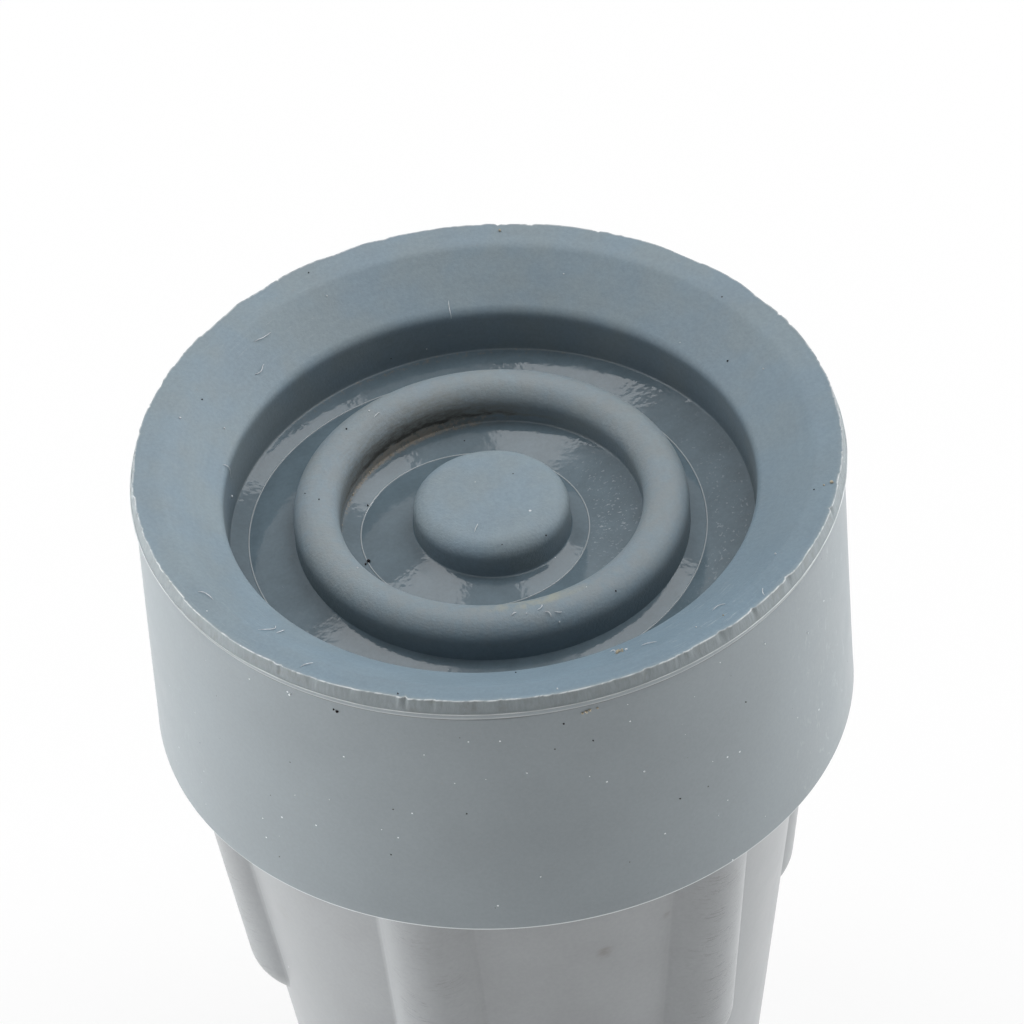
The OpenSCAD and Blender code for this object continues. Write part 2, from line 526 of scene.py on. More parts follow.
def scuffed(f, base, along, across, most):
    """Pale broken scratches where the mesh is marked, of these sizes along and across."""
    lines = f.noise(1, 4, 0.7, f.circular(along, across), 0.9)
    lines = f.spread(lines, 0.56, 0.72, 0, most)
    pale = rgba(bpy.context.scene.cane_tip_colours.torn_and_glint)
    return f.mix(f.math("MULTIPLY", f.mark("scuff"), lines), base, pale)


def specked(f, base, spacing, pale, dark):
    """Tiny specks; pale and dark are how far across the largest of each is."""
    colours = bpy.context.scene.cane_tip_colours
    base = f.mix(f.math("MULTIPLY", f.specks(spacing, pale / 2, 0.55), 0.85), base,
                 rgba(colours.lint))
    moved = f.vector("ADD", f.place, (0.7, 0.3, 0.1))
    return f.mix(f.specks(1.2 * spacing, dark / 2, 0.6, moved), base, rgba(colours.grit))


def moulded_rubber(name, swatch, rough=0.55, pits_depth=0.03 * MM):
    """Matt grey rubber with faint clouds, fine grain and moulding streaks, and its dirt."""
    f = Finish(name)
    clouds = f.noise(5 * MM, 4, 0.6)
    grain = f.noise(0.22 * MM, 3, 0.75)
    streaks = f.noise(1, 3, 0.6, f.circular(7 * MM, 0.5 * MM))
    tone = f.mottled(clouds, 0.95, 1.045, grain, 0.065)
    tone = f.math("ADD", tone, f.spread(streaks, 0.3, 0.7, -0.018, 0.018))
    # Darker below the dish and the ring's crest: partly the walls' own darker rubber, partly
    # painted shade.
    tone = f.math("MULTIPLY", tone, f.spread(f.mark("unworn_and_shaded"), 0, 1, 1, 0.6))
    warmth = f.spread(f.noise(3.5 * MM, 3, 0.55), 0.35, 0.65)
    base = f.mix(warmth, rgba(swatch), rgba(swatch, (1.06, 1, 0.94)))
    # Painted shade: darker and bluer on the side towards the camera.
    base = f.mix(f.mark("near_side_shade"), base, rgba(swatch, (0.76, 0.83, 0.87)))
    base = soiled(f, f.shade(base, tone))
    base = scuffed(f, base, 1.8 * MM, 0.13 * MM, 0.3)
    base = specked(f, base, 1.9 * MM, 0.16 * MM, 0.13 * MM)
    normal = f.bump(f.noise(0.17 * MM, 3, 0.7), 0.55, pits_depth)
    normal = f.bump(f.noise(2.2 * MM, 2, 0.5), 0.4, 0.04 * MM, normal)
    return f.finish(base, f.spread(clouds, 0.3, 0.7, rough - 0.06, rough + 0.05), normal)


def polished_rubber(name, swatch):
    """The grooves' glossy floors, which mirror the lamps with ragged ends."""
    f = Finish(name)
    colours = bpy.context.scene.cane_tip_colours
    tone = f.mottled(f.noise(1.6 * MM, 4), 0.93, 1.06, f.noise(0.25 * MM, 3, 0.7), 0.05)
    base = f.shade(rgba(swatch), tone)
    # Painted highlight: the raised line along each crease is laid pale.
    base = f.mix(f.math("MULTIPLY", f.mark("crease"), 0.5), base, rgba(colours.torn_and_glint))
    flecks = f.spread(f.noise(1, 2, 0.6, f.circular(0.42 * MM, 0.26 * MM)), 0.6, 0.72, 0, 0.24)
    base = f.mix(f.math("MULTIPLY", f.mark("bloom"), flecks), base, rgba(colours.lint))
    base = soiled(f, base)
    base = specked(f, base, 1.5 * MM, 0.12 * MM, 0.1 * MM)
    normal = f.bump(f.noise(0.9 * MM, 2, 0.5), 0.4, 0.026 * MM)
    normal = f.bump(f.noise(0.34 * MM, 1, 0.5), 0.5, 0.015 * MM, normal)
    rough = f.math("ADD", f.spread(f.noise(0.5 * MM, 4, 0.7), 0.3, 0.7, 0.035, 0.09),
                   f.spread(f.noise(2.5 * MM, 3, 0.6), 0.5, 0.68, 0, 0.08))
    rough = f.math("ADD", rough, f.math("MULTIPLY", f.mark("crust"), 0.4), clamp=True)
    return f.finish(base, rough, normal, specular=0.34)


def foot_rubber(name, swatch):
    """The smoother rubber of the foot's side, specked, and scratched towards one edge."""
    f = Finish(name)
    clouds = f.noise(5 * MM, 4, 0.55)
    grain = f.noise(0.22 * MM, 3, 0.7)
    tone = f.mottled(clouds, 0.97, 1.03, grain, 0.035)
    base = soiled(f, f.shade(rgba(swatch), tone))
    base = scuffed(f, base, 0.5 * MM, 1.1 * MM, 0.13)
    base = specked(f, base, 0.8 * MM, 0.13 * MM, 0.11 * MM)
    normal = f.bump(grain, 0.3, 0.012 * MM)
    normal = f.bump(f.noise(2.5 * MM, 3, 0.5), 0.35, 0.03 * MM, normal)
    return f.finish(base, f.spread(clouds, 0.3, 0.7, 0.33, 0.43), normal)


def trimmed_rubber(name, swatch):
    """Cut rubber with fine tear marks that run down the cut, and mud rubbed into it."""
    f = Finish(name)
    colours = bpy.context.scene.cane_tip_colours
    tears = f.noise(0.16 * MM, 4, 0.7, f.vector("MULTIPLY", f.place, (1, 1, 0.1)))
    base = f.shade(rgba(swatch), f.spread(tears, 0.25, 0.75, 0.88, 1.07))
    mud = f.spread(f.noise(1.3 * MM, 5, 0.7), 0.5, 0.7, 0, 0.22)
    base = f.mix(mud, base, rgba(colours.brown))
    base = f.mix(f.mark("torn_and_glint"), base, rgba(colours.torn_and_glint))
    base = specked(f, base, 0.9 * MM, 0.16 * MM, 0.12 * MM)
    normal = f.bump(tears, 0.6, 0.04 * MM)
    return f.finish(base, 0.72, normal, specular=0.35)


def neck_rubber(name, swatch):
    """The neck's smooth rubber, whose ribs keep the wavy tool marks of the mould."""
    f = Finish(name)
    clouds = f.noise(4 * MM, 4, 0.55)
    grain = f.noise(0.25 * MM, 3, 0.65)
    waves = f.noise(1, 4, 0.65, f.circular(1.2 * MM, 0.15 * MM), 0.6)
    waves = f.math("MULTIPLY", f.mark("ribbed"), f.spread(waves, 0.5, 0.66, 0, -1))
    waves = f.math("MULTIPLY", waves, f.spread(f.noise(2.4 * MM, 3, 0.6), 0.42, 0.58, 0.1, 1))
    tone = f.mottled(clouds, 0.96, 1.04, grain, 0.03)
    tone = f.math("ADD", tone, f.math("MULTIPLY", waves, 0.2))
    base = soiled(f, f.shade(rgba(swatch), tone))
    base = specked(f, base, 2.4 * MM, 0.14 * MM, 0.12 * MM)
    normal = f.bump(grain, 0.3, 0.01 * MM)
    normal = f.bump(waves, 0.4, 0.02 * MM, normal)
    normal = f.bump(f.noise(2.5 * MM, 3, 0.5), 0.3, 0.04 * MM, normal)
    return f.finish(base, f.spread(clouds, 0.3, 0.7, 0.3, 0.4), normal)


def debris(name, swatch):
    """Small dry matter."""
    f = Finish(name)
    base = f.shade(rgba(swatch), f.spread(f.noise(0.3 * MM, 2), 0.3, 0.7, 0.75, 1.15))
    return f.finish(base, 0.8, specular=0.2)


# ---------------------------------------------------------------- the tread


# Columns round the pieces that meet at the rim, and round the ring
RIM_COLUMNS = 1200
RING_COLUMNS = 900
# The bearing towards which the creases lie off the axis
CREASES_TOWARD = 169.8
# The narrow strip along the rim's edge, and the round where the land turns down the dish
EDGE_WIDTH = 0.09 * MM
EDGE_DROP = 0.015 * MM
LAND_ROUND = 1.2 * MM
# Where the rim is chipped: bearing and half width in degrees, depth in millimetres
RIM_CHIPS = (
    (296.7, 1.0, 0.1), (298.2, 0.7, 0.07), (282.5, 1.0, 0.1), (312.9, 0.8, 0.13),
    (304.0, 0.7, 0.1), (289.5, 0.5, 0.08), (277.0, 0.6, 0.06), (267.0, 0.5, 0.06),
    (330.4, 0.6, 0.14), (243.6, 0.5, 0.1), (258.8, 0.4, 0.09), (222.0, 0.5, 0.08),
    (75.0, 0.5, 0.1), (58.0, 0.4, 0.08), (151.0, 0.5, 0.08), (20.0, 0.6, 0.1),
)


def rim_edge(turn):
    """Radius and height of the torn rim, round the foot."""
    foot = bpy.context.scene.cane_tip_foot
    tread = bpy.context.scene.cane_tip_tread
    tear = foot.tear_depth * (
        0.55 * torn_line(turn, 190, seed=5) + 0.35 * torn_line(turn, 60, seed=6)
    ) + 0.02 * MM * (1 + ripple(turn, 0, 40, seed=7))
    for bearing, half_width, depth in RIM_CHIPS:
        tear = tear + depth * MM * near_bearing(turn, bearing, half_width)
    radius = LIP_RADIUS - foot.trim_width - np.clip(tear, 0, None)
    height = RIM_Z - (tear + 0.04 * MM) * tread.land_drop / tread.land_width
    return radius, height


def broken_edge(turn):
    """How far the rim's edge is pulled pale, in short broken runs."""
    return np.clip(0.25 + 1.5 * torn_line(turn, 620, seed=9), 0, 1)


def groove(turn, radius, shift, outer_wall, inner_wall):
    """A groove's crease, its height, and the heights of the floor at the two walls."""
    tread = bpy.context.scene.cane_tip_tread
    away = turn - math.radians(CREASES_TOWARD)
    crease = shift * np.cos(away) + np.sqrt(radius**2 - (shift * np.sin(away)) ** 2)
    low = RIM_Z - tread.crease_depth
    rise = math.tan(tread.floor_lean)
    return crease, low, low + (outer_wall - crease) * rise, low + (crease - inner_wall) * rise


def outer_groove(turn):
    """The groove between the recess's wall and the ring."""
    tread = bpy.context.scene.cane_tip_tread
    return groove(turn, tread.outer_crease_radius, tread.outer_crease_shift,
                  tread.recess_radius, tread.ring_radius + tread.ring_width / 2)


def inner_groove(turn):
    """The groove between the ring and the boss."""
    tread = bpy.context.scene.cane_tip_tread
    return groove(turn, tread.inner_crease_radius, tread.inner_crease_shift,
                  tread.ring_radius - tread.ring_width / 2, tread.boss_radius)


def raised_line(crease, low, rows):
    """Corners of the fine raised line along a crease, after the rows that lead to it."""
    width = bpy.context.scene.cane_tip_tread.crease_line
    return [
        (crease + width / 2, low, rows),
        (crease, low + 0.6 * width, 1, width / 2, 5),
        (crease - width / 2, low, 1),
    ]


class CANE_TIP_OT_tread_dish(bpy.types.Operator):
    """Make the land, the dish, the recess wall and the outer groove"""

    bl_idname = "cane_tip.tread_dish"
    bl_label = "Dish and Outer Groove"

    def execute(self, context):
        tread = context.scene.cane_tip_tread
        colours = context.scene.cane_tip_colours
        turn = turns(RIM_COLUMNS)
        edge_radius, edge_z = rim_edge(turn)
        rim_radius = LIP_RADIUS - context.scene.cane_tip_foot.trim_width
        dish_z = RIM_Z - tread.dish_depth
        crease, crease_z, wall_foot_z, ring_foot_z = outer_groove(turn)
        rows, corners = rounded_profile(turn, [
            (edge_radius, edge_z, 0),
            (edge_radius - EDGE_WIDTH, edge_z - EDGE_DROP, 1),
            (rim_radius - tread.land_width, RIM_Z - tread.land_drop, 6, LAND_ROUND, 5),
            (tread.recess_top_radius, dish_z, 14, tread.recess_round, 11),
            (tread.recess_radius, wall_foot_z, 8, tread.foot_fillet, 4),
            *raised_line(crease, crease_z, 7),
            (tread.ring_radius + tread.ring_width / 2, ring_foot_z, 8),
        ])
        _, edge, _, wall_top, wall_foot, line_start, _, line_end, _ = corners
        row = np.arange(len(rows))[:, None]
        grain = ripple(turn, row / 5, 260, seed=21, terms=20, slant=1.0)
        slow = ripple(turn, row / 12, 9, seed=22, terms=10, slant=1.0)
        uneven = 0.0015 * MM * grain + 0.012 * MM * slow
        rows[..., 1] += between(row, 0, wall_foot - 2) * uneven
        on_dish = between(row, edge, wall_top)
        at_wall_foot = between(row, wall_foot - 3, wall_foot + 2)
        outer_floor = between(row, wall_foot, line_start)
        scuffs = (near_bearing(turn, 298, 26) + 0.3 * near_bearing(turn, 123, 22)
                  + 0.45 * near_bearing(turn, 206, 22) + 0.06)
        marks = {
            "torn_and_glint": (row == 0) * broken_edge(turn),
            "crust": at_wall_foot * 0.3 * near_bearing(turn, 95, 70),
            # Painted shade: the dish darker and bluer towards the camera.
            "near_side_shade": on_dish * near_bearing(turn, -78, 120),
            "scuff": on_dish * scuffs,
            # Painted shade, with the walls' own darker rubber: darker below the dish.
            "unworn_and_shaded": np.clip((dish_z - rows[..., 1]) / (0.6 * MM), 0, 1),
            "crease": between(row, line_start, line_end),
            "bloom": outer_floor * 0.8 * near_bearing(turn, -18, 62),
        }
        materials = [
            moulded_rubber("Moulded Rubber", colours.rubber),
            polished_rubber("Polished Groove Rubber", colours.groove),
        ]
        lathe("tread_dish", rows, turn, materials, marks, second=row >= wall_foot - 1,
              sharp_rows=(line_start, line_end))
        return {"FINISHED"}


class CANE_TIP_OT_tread_ring(bpy.types.Operator):
    """Make the ring, the inner groove and the boss"""

    bl_idname = "cane_tip.tread_ring"
    bl_label = "Ring, Inner Groove and Boss"

    def execute(self, context):
        tread = context.scene.cane_tip_tread
        colours = context.scene.cane_tip_colours
        turn = turns(RING_COLUMNS)
        floor_z = RIM_Z - tread.floor_depth
        crest_z = floor_z + tread.ring_height
        boss_z = floor_z + tread.boss_height
        crown = tread.ring_width / 2
        outside, inside = tread.ring_radius + crown, tread.ring_radius - crown
        outer_foot_z = outer_groove(turn)[3]
        crease, crease_z, inner_foot_z, boss_foot_z = inner_groove(turn)
        rows, corners = rounded_profile(turn, [
            (outside, outer_foot_z, 0),
            (outside, crest_z, 5, crown, 13),
            (inside, crest_z, 1, crown, 13),
            (inside, inner_foot_z, 9, tread.foot_fillet, 4),
            *raised_line(crease, crease_z, 6),
            (tread.boss_radius, boss_foot_z, 7, tread.foot_fillet, 4),
            (tread.boss_radius - 0.03 * MM, boss_z, 4, tread.boss_round, 11),
            (TIP_RADIUS, boss_z + 0.03 * MM, 14),
        ])
        _, crest, crown_end, ring_foot, line_start, _, line_end, boss_foot, _, middle = corners
        row = np.arange(len(rows))[:, None]
        grain = ripple(turn, row / 3, 200, seed=31, terms=20, slant=1.0)
        rough = between(row, 0, ring_foot - 1) | between(row, boss_foot + 1, middle)
        fade = np.clip(rows[..., 0] / (2 * MM), 0, 1)
        rows[..., 1] += rough * 0.002 * MM * grain * fade

        # Dirt lies inside the ring, darkest along a tide line; pale mud dried below the line
        inward = np.clip((tread.ring_radius + 0.5 * MM - rows[..., 0]) / (1.2 * MM), 0, 1)
        below_crest = np.clip((crest_z - rows[..., 1]) / (1.9 * MM), 0, 1)
        up = (rows[..., 1] - inner_foot_z) / MM
        tide = 0.42 + 0.16 * near_bearing(turn, 104, 50) + 0.045 * ripple(turn, 0, 60, seed=33)
        below_tide = np.clip((tide - up) / 0.13 + 0.5, 0, 1)
        tide_line = np.exp(-((up - tide - 0.1) / 0.12) ** 2)
        on_ring = row < ring_foot
        on_wall = row < ring_foot + 1
        dirty = (row < line_start) * 0.2 + 0.8 * on_wall
        dirt = 0.18 + 0.66 * below_crest + 0.36 * tide_line
        inner_floor = between(row, ring_foot, line_start)
        marks = {
            "stain_and_shade": dirty * inward * dirt * (1 - 0.5 * below_tide)
            * near_bearing(turn, 112, 78) ** 0.8,
            "crust": on_wall * inward * below_tide * 0.85 * near_bearing(turn, 120, 58) ** 0.7,
            "yellow": 0.55 * between(row, crest, crown_end + 3) * near_bearing(turn, -88, 26),
            "dust": on_ring * (1 - below_crest),
            # Painted shade: the ring darker and bluer towards the camera.
            "near_side_shade": on_ring * 0.8 * near_bearing(turn, -90, 90),
            # Painted shade, with the walls' own darker rubber: the ring's and the boss's sides
            # darker below the crest.
            "unworn_and_shaded": np.clip((crest_z - 0.5 * MM - rows[..., 1]) / (0.8 * MM), 0, 1),
            "crease": between(row, line_start, line_end),
            "bloom": inner_floor * 1.5 * near_bearing(turn, -8, 62),
        }
        materials = [
            moulded_rubber("Grainy Ring Rubber", colours.rubber, rough=0.56, pits_depth=0.07 * MM),
            bpy.data.materials["Polished Groove Rubber"],
        ]
        lathe("tread_ring", rows, turn, materials, marks,
              second=between(row, ring_foot - 2, boss_foot - 1),
              sharp_rows=(line_start, line_end), cap="last")
        return {"FINISHED"}


# ---------------------------------------------------------------- the foot's side


class CANE_TIP_OT_foot_side(bpy.types.Operator):
    """Make the foot's underside, its side wall, the moulding lip and the trimmed bevel"""

    bl_idname = "cane_tip.foot_side"
    bl_label = "Foot Side and Trimmed Rim"

    def execute(self, context):
        foot = context.scene.cane_tip_foot
        neck = context.scene.cane_tip_neck
        colours = context.scene.cane_tip_colours
        turn = turns(RIM_COLUMNS)
        edge_radius, edge_z = rim_edge(turn)
        band = LIP_RADIUS - foot.lip_out
        low_z = RIM_Z - foot.height
        under_z = RIM_Z - foot.lip_drop - foot.lip_height
        lip_z = RIM_Z - foot.lip_drop + 0.012 * MM * ripple(turn, 0, 30, seed=41)
        rows, corners = rounded_profile(turn, [
            (neck.top_radius - OVERLAP, low_z, 0),
            (band, low_z, 4, foot.lower_round, 5),
            (band, under_z - 0.12 * MM, 26, 0.05 * MM, 1),
            (band - 0.035 * MM, under_z - 0.05 * MM, 1),
            (band + 0.02 * MM, under_z + 0.02 * MM, 1),
            (LIP_RADIUS - 0.09 * MM, lip_z - 0.06 * MM, 3),
            (LIP_RADIUS - 0.01 * MM, lip_z - 0.03 * MM, 1),
            (LIP_RADIUS - 0.02 * MM, lip_z + 0.02 * MM, 1),
            (LIP_RADIUS - 0.07 * MM, lip_z + 0.03 * MM, 1),
            (edge_radius, edge_z, 9),
        ])
        _, wall_low, wall_high, crack, lip_root, lip_under, _, flash, cut_low, rim = corners
        row = np.arange(len(rows))[:, None]
        height = (rows[..., 1] - low_z) / (edge_z - low_z)
        slow = ripple(turn, height * 4, 14, seed=42, terms=12, slant=1.0)
        wall = between(row, wall_low, wall_high)
        rows[..., 0] += wall * 0.012 * MM * (slow - 1)
        tears = ripple(turn, row / 9, 900, seed=43, terms=26, slant=0.6)
        scoops = ripple(turn, row / 9, 90, seed=44, terms=12, slant=0.6)
        cut = np.clip(0.014 + 0.006 * tears + 0.012 * scoops, 0, 0.06)
        rows[..., 0] -= between(row, cut_low, rim) * MM * cut
        # Painted highlight along the foot's lower round.
        lower_edge_highlight = between(row, wall_low - 5, wall_low)
        seam = np.clip(0.85 + 0.3 * ripple(turn, 0, 60, seed=45), 0.3, 1)
        scuffs = near_bearing(turn, 326, 24) + 0.3 * near_bearing(turn, 195, 16) + 0.05
        marks = {
            # The rim's edge is pulled pale rubber; the pale lines on the lip's edge, at its root
            # and along the lower round are painted highlights.
            "torn_and_glint": (row == rim) * broken_edge(turn) + (row == flash) * seam
            + 0.35 * (row == lip_root) * seam + 0.75 * lower_edge_highlight,
            # Painted shade: a dark line under the lip and a fainter one in the crack below it.
            "stain_and_shade": (row == lip_under) * seam + (row == crack) * 0.5 * seam,
            "scuff": wall * scuffs,
        }
        materials = [
            foot_rubber("Foot Side Rubber", colours.foot),
            trimmed_rubber("Trimmed Rubber", colours.trimmed),
        ]
        lathe("foot_side", rows, turn, materials, marks, second=row >= cut_low,
              sharp_rows=(crack, lip_under, cut_low))
        return {"FINISHED"}


# ---------------------------------------------------------------- the neck


# Columns across a rib, edges and all, and across the gap to the next one
RIB_COLUMNS = 41
GAP_COLUMNS = 60
# Brown smudges: bearing, height, half width and half height in millimetres, how dark
NECK_SMUDGES = ((275.2, 24.3, 0.9, 0.45), (201.8, 22.3, 1.3, 0.2), (288.5, 25.6, 0.6, 0.3))


def socket_profile(neck, lean):
    """Radius and height from the socket's blind end down its wall and round the mouth."""
    hole, depth, mouth = neck.socket_radius, neck.socket_depth, neck.mouth_round
    wall = np.linspace(depth - 2 * MM, 0.3 * MM, 16)
    face = np.linspace(hole + 0.8 * MM, neck.mouth_radius - mouth, 4)
    round_mouth = neck.mouth_radius + mouth * math.tan(lean)
    return [
        (TIP_RADIUS, depth),
        (0.5 * hole, depth),
        (hole - 0.3 * MM, depth),
        (hole - 0.09 * MM, depth - 0.09 * MM),
        (hole, depth - 0.3 * MM),
        *((hole, z) for z in wall),
        (hole + 0.1 * MM, 0.1 * MM),
        (hole + 0.3 * MM, 0),
        *((r, 0) for r in face),
        *((round_mouth - mouth * (1 - math.sin(a)), mouth * (1 - math.cos(a)))
          for a in np.linspace(0, math.pi / 2, 7)[1:-1]),
    ]


def neck_levels(neck, neck_z, rib_end):
    """Heights of the rows up the neck, closest where the ribs end."""
    below, above = rib_end - 0.4 * MM, rib_end + 2.6 * MM
    return np.unique(np.concatenate([
        np.linspace(neck.mouth_round, below, 22),
        np.linspace(below, above, 26),
        np.linspace(above, neck_z + OVERLAP, 46),
    ]))


def rib_borders(neck, levels, plain, past, rib_end):
    """Half the angle that a rib takes up at each level, and that its columns keep below it."""
    reach = np.sqrt(np.clip((neck.rib_width / 2) ** 2 - past**2, 0, None))
    border = np.arcsin(np.maximum(reach, 0.12 * MM) / plain)
    below = levels < rib_end
    widening = np.clip((rib_end - levels[below]) / (3 * MM), 0, 1)
    border[below] = border[~below][0] + border[-1] * 0.5 * widening
    return border


def neck_bearings(borders, ribs):
    """The bearings of each row's columns, of which some follow the ribs' edges."""
    border = borders[:, None]
    sector = 2 * math.pi / ribs
    gap = np.linspace(0, 1, GAP_COLUMNS + 2)[1:-1]
    one = np.hstack([
        border * np.linspace(-1, 1, RIB_COLUMNS),
        border + (sector - 2 * border) * gap,
    ])
    return np.hstack([one + sector * k for k in range(ribs)])


def rib_surface(neck, plain, past, from_crest):
    """Radius of a rib, part of a rod with a round end that is laid in the neck's surface."""
    rod = (neck.rib_width**2 / 4 + neck.rib_height**2) / (2 * neck.rib_height)
    ball = np.sqrt(np.clip(rod**2 - past**2, 0, None))
    centre = plain - (rod - neck.rib_height)
    half_chord = np.sqrt(np.clip(ball**2 - (centre * np.sin(from_crest)) ** 2, 0, None))
    return np.maximum(plain, centre * np.cos(from_crest) + half_chord)


def neck_smudges(neck, turn, height):
    """How far the neck's surface is smudged brown."""
    total = np.zeros(turn.shape)
    for bearing, z, size, depth in NECK_SMUDGES:
        level = np.clip(1 - np.abs(height - z * MM) / (size * MM), 0, 1)
        wide = math.degrees(size * MM / neck.top_radius)
        total += depth * near_bearing(turn, bearing, wide) * level * level * (3 - 2 * level)
    return total


class CANE_TIP_OT_neck(bpy.types.Operator):
    """Make the ribbed neck, its mouth and the socket for the shaft"""

    bl_idname = "cane_tip.neck"
    bl_label = "Neck, Ribs and Socket"

    def execute(self, context):
        neck = context.scene.cane_tip_neck
        colours = context.scene.cane_tip_colours
        neck_z = RIM_Z - context.scene.cane_tip_foot.height
        lean = math.atan((neck.top_radius - neck.mouth_radius) / neck_z)
        socket = np.array(socket_profile(neck, lean))
        skipped = len(socket)

        rib_end = neck_z - neck.rib_length
        levels = neck_levels(neck, neck_z, rib_end)
        plain = neck.mouth_radius + levels * math.tan(lean)
        # How far each level lies past the place where the ribs begin to round off
        run = neck.rib_length / math.cos(lean) - neck.rib_width / 2
        past = np.clip((neck_z - levels) / math.cos(lean) - run, 0, None)
        border = rib_borders(neck, levels, plain, past, rib_end)
        turn = neck_bearings(np.pad(border, (skipped, 0), mode="edge"), neck.rib_count)

        levels, past, plain = (v[:, None] for v in (levels, past, plain))
        column = np.arange(turn.shape[1]) % (RIB_COLUMNS + GAP_COLUMNS)
        on_rib = column < RIB_COLUMNS
        sector = 2 * math.pi / neck.rib_count
        on_neck = turn[skipped:]
        from_crest = np.where(on_rib, on_neck - np.round(on_neck / sector) * sector, 0)
        raised = on_rib & (levels > rib_end)
        radius = np.where(raised, rib_surface(neck, plain, past, from_crest), plain)
        relief = (radius - plain) / neck.rib_height
        milled = ripple(levels / MM * 2.1, from_crest * 9, 12, seed=51, terms=10, slant=1.2)
        rows = np.empty((*turn.shape, 2))
        rows[:skipped] = socket[:, None]
        rows[skipped:, :, 0] = radius - 0.006 * MM * (1 + milled) * (relief > 0.15)
        rows[skipped:, :, 1] = levels

        no_socket = ((skipped, 0), (0, 0))
        rib_edge = ((column == 0) | (column == RIB_COLUMNS - 1)) & (levels > rib_end)
        marks = {
            "stain_and_shade": np.pad(neck_smudges(neck, on_neck, levels), no_socket),
            "ribbed": np.pad(np.where(raised, np.clip(relief * 2 - 0.7, 0, 1), 0), no_socket),
        }
        lathe("neck", rows, turn, [neck_rubber("Neck Rubber", colours.neck)], marks,
              sharp_columns=np.pad(rib_edge, no_socket), cap="first")
        return {"FINISHED"}


# ---------------------------------------------------------------- lint and grit


# Small matter, in millimetres and degrees. Its order sets how each one comes out.
SMALL_MATTER_SEED = 61
FIBRE_THICKNESS = 0.045
# Crumbs pressed into the corner inside the ring
PRESSED_CRUMBS = 40
# Fibres on the tread: distance from the axis, bearing, heading, length, bend
FIBRES = (
    (17.9, 212.6, 15, 1.7, 60), (18.6, 198.6, 345, 1.1, -30), (17.1, 214.3, 30, 0.9, 25),
    (15.5, 85.3, 265, 0.7, 6), (15.1, 156.6, 330, 0.4, 40), (10.0, 271.6, 350, 0.55, 120),
    (10.25, 273.6, 20, 0.45, -90), (10.1, 263.0, 10, 0.4, 50), (10.35, 276.6, 330, 0.4, 70),
    (18.4, 226.0, 200, 0.8, 20), (16.9, 286.0, 330, 0.9, 35), (17.6, 300.5, 20, 0.8, -50),
    (16.3, 281.4, 60, 0.6, 80), (18.9, 309.0, 250, 0.7, 30), (9.4, 118.0, 200, 0.5, 40),
    (3.1, 240.0, 40, 0.7, 50), (17.2, 122.0, 215, 1.3, 12), (16.2, 128.0, 222, 1.0, 10),
)
# Crumbs on the tread: distance from the axis, bearing, how far across
DARK_GRIT = (
    (19.3, 242.3, 0.14), (17.3, 144.3, 0.13), (19.1, 108.7, 0.12), (7.3, 184.7, 0.3),
    (7.5, 186.0, 0.16), (9.5, 166.4, 0.12), (10.3, 163.0, 0.1), (9.9, 131.0, 0.14),
    (10.6, 297.0, 0.13), (4.2, 303.0, 0.1), (3.9, 266.0, 0.09), (7.4, 148.0, 0.14),
    (16.0, 20.0, 0.12), (18.3, 335.0, 0.1), (15.6, 262.0, 0.1), (2.1, 40.0, 0.09),
)
PALE_GRIT = (
    (17.4, 108.3, 0.12), (17.8, 151.2, 0.14), (15.7, 147.2, 0.12), (16.5, 283.5, 0.14),
    (10.1, 268.0, 0.12), (10.8, 277.0, 0.14), (9.6, 290.0, 0.1), (8.3, 228.0, 0.1),
    (9.2, 204.0, 0.1), (17.9, 318.0, 0.14), (18.2, 295.0, 0.12), (19.2, 268.0, 0.12),
    (9.9, 120.0, 0.12), (16.8, 62.0, 0.1), (14.7, 158.0, 0.14), (17.0, 12.0, 0.12),
)
MUD_CRUMBS = (
    (16.4, 282.1, 0.3), (16.55, 281.5, 0.2), (16.3, 283.0, 0.2), (16.6, 282.6, 0.16),
    (19.2, 336.6, 0.26), (19.1, 74.6, 0.24), (18.8, 336.0, 0.14), (18.6, 300.0, 0.14),
)
# Crumbs on the foot's side: bearing, how far below the rim, how far across
SIDE_DARK_GRIT = (
    (232.0, 1.98, 0.22), (231.4, 1.9, 0.16), (268.4, 2.3, 0.12), (272.9, 4.0, 0.12),
    (252.0, 8.4, 0.1), (301.0, 6.2, 0.1), (239.0, 12.1, 0.1), (287.0, 10.5, 0.12),
)
SIDE_PALE_GRIT = (
    (223.5, 1.9, 0.16), (262.0, 5.5, 0.12), (246.0, 4.1, 0.1), (281.0, 7.4, 0.12),
    (306.0, 3.1, 0.14), (318.0, 5.6, 0.12), (229.0, 9.0, 0.1), (294.0, 13.2, 0.1),
)
SIDE_MUD_CRUMBS = (
    (272.1, 1.75, 0.24), (272.7, 1.7, 0.2), (271.5, 1.8, 0.16), (274.0, 1.7, 0.14),
)


